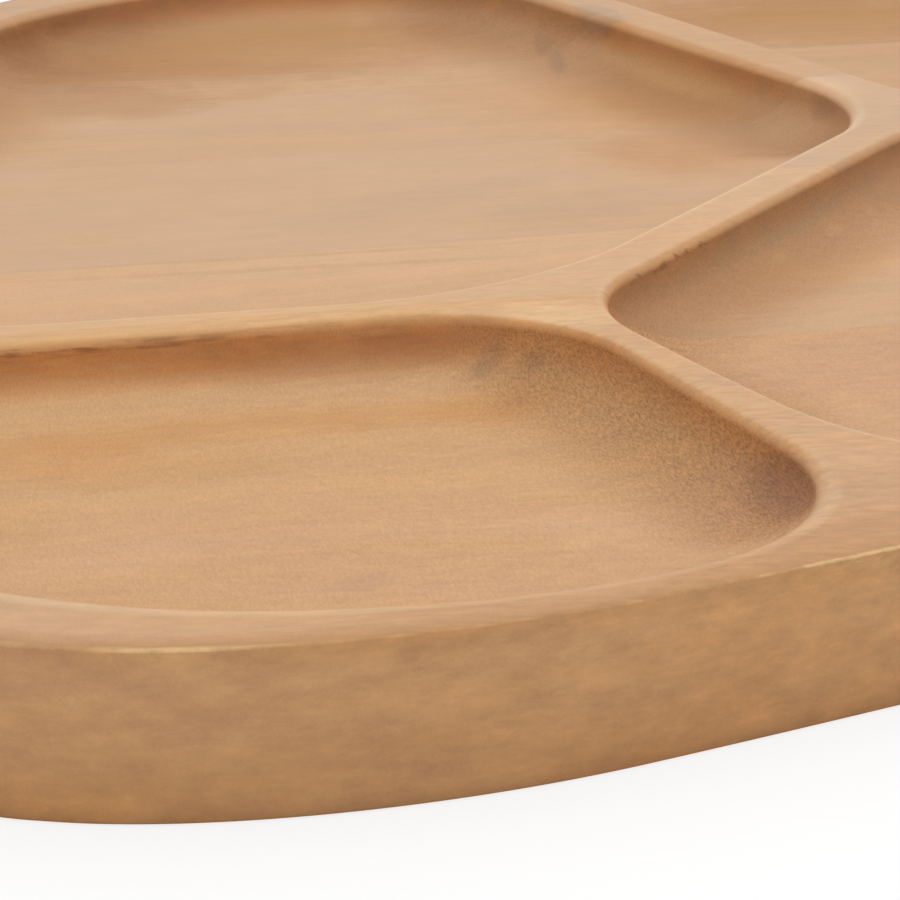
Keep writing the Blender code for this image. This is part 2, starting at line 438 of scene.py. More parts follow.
def ripple(length, seed, least=2, most=12):
    """A smooth closed noise along a loop, from -1 to 1.

    It is a sum of cosines with whole numbers of waves, each divided by the root of its number.
    """
    rng = np.random.default_rng(seed)
    waves = np.arange(least, most)[:, None]
    turns = np.linspace(0, 2 * np.pi, length, endpoint=False)
    parts = np.cos(waves * turns + rng.uniform(0, 2 * np.pi, waves.shape)) / np.sqrt(waves)
    total = parts.sum(axis=0)
    return total / np.abs(total).max()


def inward_of(loop):
    """The direction square to a closed counter-clockwise loop at each point, to its inside."""
    way = unit(np.roll(loop, -1, axis=0) - np.roll(loop, 1, axis=0))
    return np.column_stack([-way[:, 1], way[:, 0]])


def pocket_grid(rows, grain_run, seed):
    """Rings of points from a pocket's mouth down to its floor, and their marks.

    The profile gives the wall. The floor is straight lines from the cove's foot to the pole,
    plan = foot (1 - share) + pole share, and the whole inside lies over a shallow dish, which
    is deeper by d (1 - (1 - inside / run)^2).
    """
    (start_in, wall_z), (end_in, _) = (wall_profile(land) for land in stand_in(rows))
    loops = pocket_loops(rows, start_in, end_in)
    inward = inward_of(loops[ROLL_ROWS - 1])
    loops = loops + inward * WOBBLE * ripple(loops.shape[1], seed)[:, None]
    pole = loops[-1].mean(axis=0)
    share = np.linspace(0, 1, FLOOR_ROWS + 1)[1:, None, None]
    plan = np.concatenate([loops, loops[-1] * (1 - share) + pole * share])
    inside = np.linalg.norm(plan - loops[ROLL_ROWS - 1], axis=-1)
    inside[:ROLL_ROWS] *= -1
    level = np.concatenate([wall_z, np.full(FLOOR_ROWS, wall_z[-1])])[:, None]
    height = level - DISH * (1 - (1 - ramp(inside, 0, DISH_RUN)) ** 2)
    return np.dstack([plan, height]), pocket_marks(inside, inward, grain_run)


print("The floor goes down over", DISH_RUN * MM, "mm from the wall")

# %% [markdown]
# ## From grids to one skin
#
# A grid becomes faces by pairing each ring with the next, and each point with its neighbour.
# The innermost ring of a floor closes in one pole. Blender's bridge tool does the same by hand,
# one ring after another.


# %% Faces of a grid
def ring_faces(rings, points, first):
    """Quads between neighbouring rings of a closed grid, numbered from first, walked upwards.

    Face (r, p) joins points (r, p), (r, p+1), (r+1, p+1) and (r+1, p), with p taken round.
    """
    r, p = np.meshgrid(np.arange(rings - 1), np.arange(points), indexing="ij")
    here, above = r * points, (r + 1) * points
    q = (p + 1) % points
    return np.stack([here + p, here + q, above + q, above + p], axis=-1).reshape(-1, 4) + first


def pole_faces(points, first, pole):
    """Triangles from the last ring, which starts at first, to the pole."""
    p = np.arange(points)
    return np.column_stack([first + p, first + (p + 1) % points, np.full(points, pole)])


print("Three rings of 8 points make", len(ring_faces(3, 8, 0)), "quads")

# %% [markdown]
# ## The outer wall
#
# The upper edge of the outer wall was sanded by hand, so the width of its round changes as it
# goes. A bevel has one width everywhere. Here a noise varies it, and along the front it follows
# the photograph: its width, and how far the finish is worn off it, at places from left to right.
# The pale colour of the worn edge also carries a painted highlight along it.

# %% The upper edge, its wear and its painted highlight
EDGE_LEAST = 0.0004
EDGE_MOST = 0.0009
EDGE_SEED = 40
FRONT = (0.06, 0.08)
# In the third column, wear and the painted highlight on the edge go together.
FRONT_EDGE = np.array([  # place from left to right, width of the round, wear
    (-0.190, 0.00070, 0.40),
    (-0.154, 0.00070, 0.35),
    (-0.147, 0.00060, 0.35),
    (-0.142, 0.00060, 0.70),
    (-0.133, 0.00060, 0.70),
    (-0.127, 0.00050, 0.30),
    (-0.080, 0.00050, 0.25),
    (-0.074, 0.00040, 0.40),
    (-0.068, 0.00035, 1.00),
    (0.190, 0.00035, 1.00),
])


def edge_course():
    """The width of the upper edge and its wear, at each point of the outline.

    The wear also carries a painted highlight. Both wander with a smooth noise, and turn into the
    front's own values from y = -60 to -80 mm.
    """
    x, y = outline.T
    wander = 0.5 + 0.5 * ripple(len(outline), EDGE_SEED)
    place, width, worn_and_lit = FRONT_EDGE.T
    front = ramp(-y, *FRONT)
    plain = EDGE_LEAST + (EDGE_MOST - EDGE_LEAST) * wander**2
    return (
        plain * (1 - front) + np.interp(x, place, width) * front,
        wander * (1 - front) + np.interp(x, place, worn_and_lit) * front,
    )


print("The width of the round changes by", round(np.ptp(edge_course()[0]) * MM, 2), "mm")

# %% [markdown]
# The outer wall is carried along the outline as the pockets' walls are along theirs. Its lower
# edge is eased evenly, and the last 2 mm of the land slope gently down to its upper one.

# %% The outer wall
FOOT = 0.0005
FOOT_SHADE = 0.0022
EDGE_LEAN = math.radians(72)
MARGIN_DROP = 0.00034
MARGIN_RUN = 2 * MARGIN_DROP * math.tan(EDGE_LEAN)
MARGIN_START = 0.4
FACET_ROWS = (0.1, 0.9)
EDGE_ROWS = 7
MARGIN_ROWS = 5
WALL_ROWS = 10
WALL_POWER = 1.5


def wall_grid():
    """Rings from the underside to the top face, and their marks.

    Foot and edge are parts of a round: inside = w (1 - cos(turn)), height = start + w sin(turn).
    The edge stops at its lean. From there the margin of the land rises as top - drop (1 - share)^2.
    """
    width, worn_and_lit = edge_course()
    even = np.ones(len(outline))
    turn = np.linspace(np.pi / 2, 0, EDGE_ROWS)[:, None]
    foot_in, foot_z = FOOT * (1 - np.cos(turn)), FOOT * (1 - np.sin(turn))
    wall_top = THICKNESS - MARGIN_DROP - width * math.sin(EDGE_LEAN)
    rise = np.linspace(0, 1, WALL_ROWS)[1:-1, None] ** WALL_POWER
    wall_z = FOOT + (wall_top - FOOT) * rise
    lean = np.linspace(0, EDGE_LEAN, EDGE_ROWS)[:, None]
    edge_in, edge_z = width * (1 - np.cos(lean)), wall_top + width * np.sin(lean)
    share = np.linspace(0, 1, MARGIN_ROWS + 1)[1:, None]
    margin_in = edge_in[-1] + MARGIN_RUN * share
    margin_z = THICKNESS - MARGIN_DROP * (1 - share) ** 2
    inside = np.concatenate([foot_in * even, 0 * wall_z, edge_in, margin_in])
    height = np.concatenate([foot_z * even, wall_z, edge_z, margin_z * even])
    plan = outline[None] + inward_of(outline)[None] * inside[..., None]
    edge = slice(-EDGE_ROWS - MARGIN_ROWS, -MARGIN_ROWS)
    facet, margin = np.zeros_like(inside), np.zeros_like(inside)
    facet[edge] = np.sin(np.pi * np.linspace(*FACET_ROWS, EDGE_ROWS))[:, None]
    margin[edge] = np.linspace(MARGIN_START, 1, EDGE_ROWS)[:, None]
    margin[-MARGIN_ROWS:] = 1 - share
    return np.dstack([plan, height]), {
        # The worn edge mark is wear with a painted highlight on it.
        "worn_edge_and_highlight": facet * worn_and_lit,
        "margin": margin,
        "foot": ramp(height, FOOT_SHADE, 0),
    }


wall, wall_marks = wall_grid()
print("The outer wall has", len(wall), "rings, up to", round(wall[..., 2].max() * MM, 2), "mm")

# %% [markdown]
# ## One mesh
#
# All grids go into one mesh. The marks go along as attributes of its points, one for each kind,
# where a material can read them. A grid without a mark has zeros there.

# %% Join the grids into one mesh
MARKS = (
    "carved", "open_grain_and_shade", "steep", "lip", "roll_highlight", "golden_and_shaded_roll", "worn_edge_and_highlight", "margin", "foot"
)
# How far the end grain's darkening runs from a wall; out on the floor it is painted shade.
GRAIN_RUN = 0.0245
GRAIN_RUNS = {"back_left": 0.030}
parts, faces = [], []
marks = {mark: [] for mark in MARKS}
count = 0


def add_grid(grid, values, keep):
    """Put the first points of a grid, and its marks, into the lists."""
    parts.append(grid.reshape(-1, 3)[:keep])
    for mark in MARKS:
        spread = np.broadcast_to(values.get(mark, 0.0), grid.shape[:2])
        marks[mark].append(spread.reshape(-1)[:keep])
    return keep


faces += ring_faces(*wall.shape[:2], count).tolist()
count += add_grid(wall, wall_marks, wall.shape[0] * wall.shape[1])
for seed, (name, rows) in enumerate(POCKET_SHARES.items()):
    grid, values = pocket_grid(rows, GRAIN_RUNS.get(name, GRAIN_RUN), seed)
    rings, points = grid.shape[:2]
    last = count + (rings - 2) * points
    faces += ring_faces(rings - 1, points, count).tolist()
    faces += pole_faces(points, last, last + points).tolist()
    count += add_grid(grid, values, (rings - 1) * points + 1)
    print(name, "pocket:", rings, "rings of", points, "points")

skin = bpy.data.meshes.new("skin")
skin.from_pydata(np.concatenate(parts), [], faces)
for mark in MARKS:
    layer = skin.attributes.new(mark, "FLOAT", "POINT")
    layer.data.foreach_set("value", np.concatenate(marks[mark]))
print("The open skin has", len(skin.vertices), "points and", len(skin.polygons), "faces")

# %% [markdown]
# The flat land between the pockets, and the underside, have no shape of their own: they are
# what the loops leave open. Blender's triangle fill closes them, holes included. Their edges
# are marked sharp, so that the flat faces stay flat beside the smooth rounds.


# %% Close the top and the underside
def filled(bm, edges, normal):
    """Close the loops of edges with flat faces."""
    made = bmesh.ops.triangle_fill(bm, edges=edges, use_beauty=True, normal=normal)["geom"]
    flat = [f for f in made if isinstance(f, bmesh.types.BMFace)]
    for face in flat:
        face.smooth = False
    for edge in edges:
        edge.smooth = False
    return flat


solid = bmesh.new()
solid.from_mesh(skin)
for face in solid.faces:
    face.smooth = True
open_edges = [e for e in solid.edges if e.is_boundary]
halfway = THICKNESS / 2
land = filled(solid, [e for e in open_edges if e.verts[0].co.z > halfway], (0, 0, 1))
underside = filled(solid, [e for e in open_edges if e.verts[0].co.z < halfway], (0, 0, -1))
bmesh.ops.recalc_face_normals(solid, faces=solid.faces)
print("Land", len(land), "faces, underside", len(underside), "faces")
print("Edges still open:", sum(e.is_boundary for e in solid.edges))

# %% [markdown]
# ## Sawn into staves
#
# Each stave could be carved by itself, but then neighbours would have to meet exactly. Cutting
# the finished skin at the glue lines gives six staves that fit without a step. Each cut is
# closed with a flat face, which lies against its neighbour's.

# %% Cut out the staves
STAVES = ["front_edge", "front", "front_middle", "back_middle", "back", "back_edge"]
PITCH = WIDTH / len(STAVES)
GLUE_LINES = [row * PITCH - WIDTH / 2 for row in range(1, len(STAVES))]
SAME_PLACE = 1e-7


def cut_away(bm, y, side):
    """Cut the body at y, drop what lies on that side, and close the cut."""
    cut = bmesh.ops.bisect_plane(
        bm,
        geom=bm.verts[:] + bm.edges[:] + bm.faces[:],
        plane_co=(0, y, 0),
        plane_no=(0, side, 0),
        clear_outer=True,
        dist=SAME_PLACE,
    )["geom_cut"]
    filled(bm, [e for e in cut if isinstance(e, bmesh.types.BMEdge)], (0, side, 0))


staves = {}
for row, name in enumerate(STAVES):
    piece = solid.copy()
    if row > 0:
        cut_away(piece, GLUE_LINES[row - 1], -1)
    if row < len(GLUE_LINES):
        cut_away(piece, GLUE_LINES[row], 1)
    bmesh.ops.recalc_face_normals(piece, faces=piece.faces)
    mesh = bpy.data.meshes.new(name)
    piece.to_mesh(mesh)
    open_count = sum(e.is_boundary for e in piece.edges)
    piece.free()
    stave = bpy.data.objects.new(name + "_board", mesh)
    bpy.context.scene.collection.objects.link(stave)
    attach(stave, "root")
    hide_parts(name + "_stave")
    staves[name] = stave
    print(name, "board:", len(mesh.polygons), "faces,", open_count, "open edges")
solid.free()

# %% [markdown]
# ## Sums with sockets
#
# A material is a web of nodes, and most of them only add and multiply. They could be placed
# and joined one by one. This class lets a socket take part in ordinary Python sums instead, so
# that the wood can be written as formulas.


# %% A socket that can be added and multiplied
class Wire:
    """A node's output. Sums with numbers and other wires add Math nodes to its tree."""

    def __init__(self, tree, socket=None):
        self.tree = tree
        self.socket = socket

    def node(self, kind, settings, values, output=0):
        """Add any node to the same tree: its settings first, then values or wires for sockets."""
        made = self.tree.nodes.new(kind)
        for name, setting in settings.items():
            setattr(made, name, setting)
        for name, value in values.items():
            if isinstance(value, Wire):
                self.tree.links.new(value.socket, made.inputs[name])
            else:
                made.inputs[name].default_value = value
        return Wire(self.tree, made.outputs[output])

    def other(self, output):
        """Another output of the node that this wire comes from."""
        return Wire(self.tree, self.socket.node.outputs[output])

    def into(self, node, name):
        """Join this wire to a socket of a node that is there already."""
        self.tree.links.new(self.socket, node.inputs[name])

    def math(self, operation, *values):
        """A Math node of these values, in their order."""
        return self.node("ShaderNodeMath", {"operation": operation}, dict(enumerate(values)))

    def __add__(self, value):
        return self.math("ADD", self, value)

    __radd__ = __add__

    def __sub__(self, value):
        return self.math("SUBTRACT", self, value)

    def __rsub__(self, value):
        return self.math("SUBTRACT", value, self)

    def __mul__(self, value):
        return self.math("MULTIPLY", self, value)

    __rmul__ = __mul__

    def __pow__(self, value):
        return self.math("POWER", self, value)

    def __abs__(self):
        return self.math("ABSOLUTE", self)

    def least(self, value):
        """The lesser one of this wire and another value."""
        return self.math("MINIMUM", self, value)

    def rise(self, start, end):
        """A smooth step from 0 at start to 1 at end; a start above the end turns it round."""
        inputs = {"Value": self, "From Min": start, "From Max": end}
        return self.node("ShaderNodeMapRange", {"interpolation_type": "SMOOTHSTEP"}, inputs)

    def axes(self):
        """The X, Y and Z of this vector."""
        x = self.node("ShaderNodeSeparateXYZ", {}, {0: self})
        return x, x.other(1), x.other(2)

    def scaled(self, by):
        """This colour or vector times a number."""
        return self.node("ShaderNodeVectorMath", {"operation": "SCALE"}, {0: self, "Scale": by})

    def between(self, first, second, blend="MIX"):
        """The first colour blended with the second one by a share, which is this wire."""
        settings = {"data_type": "RGBA", "blend_type": blend}
        return self.node("ShaderNodeMix", settings, {0: self, 6: first, 7: second}, 2)


scratch = bpy.data.node_groups.new("scratch", "ShaderNodeTree")
total = 1 - Wire(scratch).node("ShaderNodeValue", {}, {}) * 2
print("A sum ends in a Math node that does", total.socket.node.operation)
bpy.data.node_groups.remove(scratch)

# %% [markdown]
# ## The wood
#
# A point of the wood needs to know where it is, and what was done to it there. Object
# coordinates give the place, here in millimetres. The face's own direction tells flat land and
# floors from walls. The marks come from the mesh.

# %% What a point of the wood can read
LOOKING_UP = (0.3, 0.9)
CUT_OPEN = (0.1, 0.9)


def read_point(tree):
    """Wires for a point: x, y and z in millimetres, up for its face, its marks, and cut.

    Up rises with the height of the face's direction, and cut with the mark of open grain.
    """
    place = Wire(tree).node("ShaderNodeTexCoord", {}, {}, "Object")
    at = dict(zip("xyz", place.scaled(MM).axes()))
    at["up"] = place.other("Normal").axes()[2].rise(*LOOKING_UP)
    for mark in MARKS:
        at[mark] = place.node("ShaderNodeAttribute", {"attribute_name": mark}, {}, "Fac")
    # Cut is the open end grain, with the painted shade that runs from it over the floor.
    at["cut"] = at["open_grain_and_shade"].rise(*CUT_OPEN)
    return at


print("A point reads", len(MARKS), "marks")

# %% [markdown]
# Everything in the wood is long along the grain and narrow across it: the figure of the
# growth rings, streaks and short hatching are the same noise, stretched to different sizes.
# A picture of wood would look pasted on where it turns down a wall. This noise fills space, so
# it turns to dots by itself where a wall cuts the fibres. Grit and mottle keep to the tray's
# own axes.

# %% The figure of the wood
# Each row: waves for each millimetre along the grain, across it and upwards, detail, roughness.
SWAY = (0.014, 0.05, 0.05, 1.0, 0.5)
SWAY_MOST = 9
SEED_STEP = 10
FIGURE = {
    "rings": (0.0045, 0.16, 0.22, 3.0, 0.6),
    "streaks": (0.04, 0.8, 0.9, 3.0, 0.6),
    "hatch": (0.26, 1.0, 1.2, 2.0, 0.6),
    "clouds": (0.016, 0.045, 0.05, 2.0, 0.5),
}
SPECKS = {"grit": (4.0, 1.3, 3.3, 2.0, 0.7), "mottle": (0.15, 0.2, 0.3, 4.0, 0.65)}


def noise(x, y, z, per_x, per_y, per_z, detail, roughness):
    """Noise with so many waves for each millimetre on each axis, from about -0.5 to 0.5."""
    vector = x.node("ShaderNodeCombineXYZ", {}, {"X": x * per_x, "Y": y * per_y, "Z": z * per_z})
    inputs = {"Vector": vector, "Scale": 1.0, "Detail": detail, "Roughness": roughness}
    return x.node("ShaderNodeTexNoise", {}, inputs) - 0.5


def figure(look, x, y, z, **others):
    """The noises of one stave. Its grain is turned by its slope, and sways to the sides.

    Along = x cos + y sin, across = y cos - x sin, each moved by the seed, and across moved
    again by a slow noise of its own.
    """
    slope, seed = math.radians(look["slope"]), look["seed"]
    along = x * math.cos(slope) + y * math.sin(slope) + seed * SEED_STEP
    across = y * math.cos(slope) - x * math.sin(slope) + seed
    across = across + noise(along, across, z, *SWAY) * SWAY_MOST
    found = {name: noise(along, across, z, *sizes) for name, sizes in FIGURE.items()}
    found.update({name: noise(x, y, z, *sizes) for name, sizes in SPECKS.items()})
    return found


print("The figure is made of", 1 + len(FIGURE) + len(SPECKS), "noises")

# %% [markdown]
# Boards from different trees differ, and so do the staves. Each has two tones that its clouds
# and rings mix, the slope of its grain in degrees, how strongly its fine lines show, how much
# its end grain darkens, partly as painted shade, and a seed that moves its figure.

# %% Each stave's own tones
LOOK_NAMES = ("tone", "warm", "slope", "fine", "drinks_and_shade", "seed")
LOOK_ROWS = {
    "front_edge": ((0.570, 0.322, 0.152), (0.590, 0.310, 0.125), -8.0, 1.0, 0.70, 11),
    "front": ((0.578, 0.324, 0.146), (0.600, 0.325, 0.130), -1.5, 1.0, 0.70, 23),
    "front_middle": ((0.610, 0.362, 0.186), (0.620, 0.350, 0.160), 2.0, 0.5, 0.95, 37),
    "back_middle": ((0.570, 0.346, 0.192), (0.570, 0.330, 0.170), -1.0, 0.3, 0.90, 41),
    "back": ((0.560, 0.335, 0.182), (0.560, 0.320, 0.160), -1.0, 0.3, 0.72, 59),
    "back_edge": ((0.530, 0.310, 0.158), (0.530, 0.295, 0.135), -2.0, 0.35, 0.70, 67),
}
LOOKS = {name: dict(zip(LOOK_NAMES, row)) for name, row in LOOK_ROWS.items()}
WARM_FROM_CLOUDS = 1.6
WARM_FROM_RINGS = 0.8
WARM_SHIFT = 0.4
WARM_RISE = (0.1, 0.9)


def toned(look, clouds, rings, **others):
    """The stave's tone, turning to its warm tone where 1.6 clouds + 0.8 rings + 0.4 is high."""
    warm = clouds * WARM_FROM_CLOUDS + rings * WARM_FROM_RINGS + WARM_SHIFT
    return warm.rise(*WARM_RISE).between((*look["tone"], 1), (*look["warm"], 1))


print(len(LOOKS), "staves have tones of their own")

# %% [markdown]
# ## What was done to the wood
#
# Carving and use change these tones. A change is a tint: the colour is multiplied by it, so a
# tint below one darkens, and one that is low in its last number turns the wood more orange.
# A mix with a second colour would hide the grain, and a tint keeps it.
#
# The first tints follow the shape, through the marks: the outer wall, with painted shade low
# on it, the sloping margin of the land, the golden part of a roll with painted shade, a painted
# highlight on the bright part of a roll, steep walls, and open end grain with a painted shade
# that runs out over the floor.

# %% Tints that follow the shape
OUTSIDE = (1.01, 0.95, 0.87)
# Painted shade: the outer wall darker towards the bottom.
LOW_WALL_SHADE = (0.93, 0.88, 0.80)
BISCUIT = (0.84, 0.76, 0.63)
# Golden colour with painted shade, on rolls of walls that look to the front.
GOLDEN_SHADED_ROLL = (0.93, 0.80, 0.61)
# Painted highlight on the rolls of walls that look to the back.
PAINTED_CREST_HIGHLIGHT = (1.12, 1.20, 1.22)
DEEP_WALL = (0.80, 0.56, 0.27)
# End grain colour on the walls, and painted shade where it runs out over the floor.
END_GRAIN_AND_SHADE = (0.64, 0.53, 0.39)
LOW_ON_WALL = (16, 3)
STEEP_SHARE = 0.9
STEEP_STREAKS = 1.6
DARKENING_MOTTLE = 0.25


def shape_changes(
    look, z, up, mottle, streaks, carved, margin, golden_and_shaded_roll, roll_highlight, steep, cut, **others
):
    """Tints and their shares, from the marks. Outer = (1 - up) (1 - carved)."""
    outer = (1 - up) * (1 - carved)
    return [
        (OUTSIDE, outer),
        (LOW_WALL_SHADE, outer * z.rise(*LOW_ON_WALL)),
        (BISCUIT, margin * (1 + mottle)),
        (GOLDEN_SHADED_ROLL, golden_and_shaded_roll * (1 + mottle)),
        (PAINTED_CREST_HIGHLIGHT, roll_highlight),
        (DEEP_WALL, steep * (STEEP_SHARE + streaks * STEEP_STREAKS)),
        (END_GRAIN_AND_SHADE, cut * (look["drinks_and_shade"] + mottle * DARKENING_MOTTLE)),
    ]


print("Open end grain keeps", END_GRAIN_AND_SHADE)

# %% [markdown]
# Other changes don't follow the shape: paler and browner bands, smudges and end grain with a
# purplish tone come from the tree and from use; the gleam, and some pale places, are painted
# highlights.

# %% Tints of the tree, of use, and painted highlights
HONEY = (0.97, 0.89, 0.70)
PALE = (1.07, 1.10, 1.14)
SMUDGE = (0.72, 0.74, 0.78)
PLUM = (0.68, 0.62, 0.68)
UMBER = (0.82, 0.72, 0.56)
SPLIT = (0.45, 0.38, 0.33)
ROSE = (0.94, 0.92, 1.00)
GREY = (0.82, 0.86, 0.93)
# GLEAM is a painted highlight.
GLEAM = (1.16, 1.24, 1.32)
GOLD = (1.10, 1.08, 0.93)
COOL = (0.90, 1.00, 1.16)
DUN = (0.93, 0.92, 0.91)
TAN = (0.87, 0.75, 0.54)
print("Tints go from", SPLIT, "to", GLEAM)

# %% [markdown]
# These tints have a definite place in the photographed tray: a honey-coloured band, a dark patch
# of end grain in a corner, flecks along the top of a wall, and some painted highlights. Each place
# is a soft ellipse, given by its middle, its two half sizes in millimetres and its turn in
# degrees, a tint and a strength. One that crosses a glue line is in the lists of both staves.

# %% Places of the tints
CORNER_END_GRAIN = (-60.2, -100.5, 4.6, 8.5, 6, PLUM, 0.9)
NEAR_LAND = (-114, -45.5, 42, 4, 0, GOLD, 0.9)
SLANTING_RIDGE = (-22.8, -12.7, 46, 1.8, 39, COOL, 0.9)
FAR_WALL = (-78, 109, 52, 30, 6, TAN, 1.0)
FAR_FLOOR = (-88, 91, 24, 8, 0, UMBER, 0.4)
PLACED = {
    "front_edge": [
        CORNER_END_GRAIN,
        (-138, -94, 12, 4, 0, PALE, 0.6),
        (-95, -92, 18, 4, -8, PALE, 0.5),
        (-82, -97, 8, 8, -10, PALE, 0.5),
        (-112, -104, 4, 3, 20, SMUDGE, 0.2),
        # Painted highlight along the front mouth of the front-left pocket.
        (-62, -129, 28, 4.0, 8, PALE, 0.8),
        (-100, -127, 26, 3.0, 6, BISCUIT, 0.5),
        (-66, -122, 24, 3.5, 12, BISCUIT, 0.7),
        (-60, -114, 22, 10, 12, BISCUIT, 0.45),
    ],
    "front": [
        CORNER_END_GRAIN,
        (-112, -60.5, 32, 4.5, 0, HONEY, 0.8),
        (-138, -64, 13, 6, 0, HONEY, 0.8),
        (-84, -61, 9, 5, 0, HONEY, 0.7),
        (-112, -62, 6, 2, 0, PALE, 0.7),
        (-83, -60, 4, 1.5, 0, PALE, 0.5),
        (-80.5, -52.6, 3, 1.5, 30, SMUDGE, 0.6),
        (-75.5, -55, 1.5, 1.2, 0, SMUDGE, 0.6),
        (-71, -51.5, 8.5, 5, -20, GLEAM, 1.0),
        (-100, -49, 22, 3.5, 0, UMBER, 0.7),
        (-88, -48.5, 10, 3.5, 0, UMBER, 0.5),
        (-153, -54, 10, 3, 0, PALE, 1.2),
        (-126, -71, 18, 5, 0, HONEY, 0.6),
        (-150, -82, 10, 8, 0, HONEY, 0.4),
        NEAR_LAND,
        (-136, -47, 22, 4, 0, SPLIT, 1.0),
        (-98, -46, 22, 4, 0, SPLIT, 0.8),
        (-16, -58, 44, 16, 0, ROSE, 1.0),
    ],
    "front_middle": [
        NEAR_LAND,
        (-46, -32, 16, 4, 39, SPLIT, 1.0),
        SLANTING_RIDGE,
        (-13.8, -10.1, 2.5, 1.2, 45, PALE, 1.0),
        (-26.8, -20.2, 2.5, 1.0, 45, PALE, 1.0),
        (-5, -2.8, 2, 1.0, 45, PALE, 0.8),
        (-24, -24, 26, 6, 30, HONEY, 0.6),
        (-20, -38, 34, 10, 20, DUN, 0.9),
        (-100, -18, 60, 9, 0, HONEY, 0.3),
        (-95, -6, 38, 0.9, -3, UMBER, 0.35),
        (-95, -1, 40, 0.6, -2, UMBER, 0.35),
    ],
    "back_middle": [
        (-66, 20, 24, 6, 20, SMUDGE, 0.22),
        (-45, 11, 18, 8, 10, SMUDGE, 0.25),
        SLANTING_RIDGE,
        (-20, 36, 16, 15, 0, TAN, 0.5),
        (-24, 36, 14, 14, 0, HONEY, 0.6),
        (3, 38, 8, 8, 0, GLEAM, 0.7),
        (6.5, 36, 3, 6, 0, PLUM, 0.7),
    ],
    "back": [
        FAR_WALL,
        FAR_FLOOR,
        (-100, 76, 15, 10, 0, UMBER, 0.9),
        (-34, 62, 18, 26, 20, HONEY, 0.6),
        (-122, 70, 12, 20, 0, HONEY, 0.7),
        (-10, 62, 26, 24, 0, HONEY, 0.8),
        (-23, 84, 1.6, 5, -14, SMUDGE, 0.6),
        (-13.3, 80.5, 2, 5, 10, HONEY, 1.0),
        (-14, 86, 6, 3, -60, SMUDGE, 0.4),
        (-79, 77, 8, 3, 20, UMBER, 0.4),
        (-62, 86, 8, 3, 20, UMBER, 0.3),
        (45, 75, 40, 24, 0, TAN, 0.4),
        (-10, 60, 14, 22, 0, TAN, 0.5),
        (-14, 86, 5, 3, -60, GREY, 1.0),
        (-9.5, 66, 3.0, 17, 22.5, GLEAM, 1.0),
    ],
    "back_edge": [
        FAR_WALL,
        FAR_FLOOR,
        (-100, 122, 20, 16, 0, UMBER, 0.8),
        (-23, 92, 1.6, 5, -14, SMUDGE, 0.4),
        (-14, 89, 5, 3, -60, GREY, 1.0),
        (-114, 100, 8, 8, 0, UMBER, 0.8),
        (-106, 108, 6, 4, 20, UMBER, 1.0),
        (36, 104, 38, 22, 0, TAN, 1.0),
        (-10, 95, 14, 22, 0, TAN, 0.6),
    ],
}
print(sum(len(rows) for rows in PLACED.values()), "tinted places")

# %% [markdown]
# A placed tint may not run over every edge it meets. Smudges and browns belong to the carved
# wood, umber only to its lower part, gold and biscuit only to the flat land, and the flecks only
# to the very lip of a wall. So each share is multiplied by where its tint may be.

# %% Soft ellipses
SOFT_EDGE = (1.3, 0.4)
BLUR_MOTTLE = 0.5
BLUR_STREAKS = 0.3
UNDER_THE_ROLL = (18.6, 17.0)
FLECK_HATCH = 0.6
FLECK_RISE = (0.0, 0.2)


def ellipse(x, y, blur, middle_x, middle_y, half_x, half_y, turn):
    """A soft ellipse: 1 inside, 0 outside, over the distance sqrt(u^2 + v^2) with noise added."""
    turn = math.radians(turn)
    from_x, from_y = x - middle_x, y - middle_y
    u = (from_x * math.cos(turn) + from_y * math.sin(turn)) * (1 / half_x)
    v = (from_y * math.cos(turn) - from_x * math.sin(turn)) * (1 / half_y)
    apart = (u * u + v * v) ** 0.5 + blur
    return apart.rise(*SOFT_EDGE)


def placed_changes(placed, x, y, z, up, carved, lip, streaks, hatch, mottle, **others):
    """Tints and their shares, from a stave's list of places: ellipse x strength x limit."""
    blur = mottle * BLUR_MOTTLE + streaks * BLUR_STREAKS
    land = up * (1 - carved)
    flecks = lip * (streaks + hatch * FLECK_HATCH).rise(*FLECK_RISE)
    limits = {tint: carved for tint in (SMUDGE, PLUM, TAN, DUN)}
    limits[UMBER] = carved * z.rise(*UNDER_THE_ROLL)
    limits.update({BISCUIT: land, GOLD: land, SPLIT: flecks})
    return [
        (tint, ellipse(x, y, blur, *where) * strength * limits.get(tint, 1))
        for *where, tint, strength in placed
    ]


print("An ellipse ends at", SOFT_EDGE[0], "times its half sizes")

# %% [markdown]
# ## Light and dark
#
# After the tints a single number makes all the colours a little lighter or darker: rings,
# streaks, hatching, grit, mottle, the glue lines and the shade at the foot. As it is the same
# for red, green and blue, the fine figure keeps the hue of the wood.

# %% How light the wood is
RING_LIGHT = 0.14
STREAK_LIGHT, STREAK_STEEP = 0.12, 0.6
HATCH_LIGHT, HATCH_CARVED = 0.52, 0.27
HATCH_LEFT, HATCH_LEAST = (-140, -90), 0.5
GRAIN_LEAST = 0.5
MOTTLE_LIGHT, MOTTLE_UP = 0.7, 0.56
GRIT_LIGHT, GRIT_CARVED, GRIT_CUT = 0.22, 0.3, 1.05
GLUE_WIDTH, GLUE_DARK = (0.10, 0.02), 0.10
FOOT_DARK = 0.25


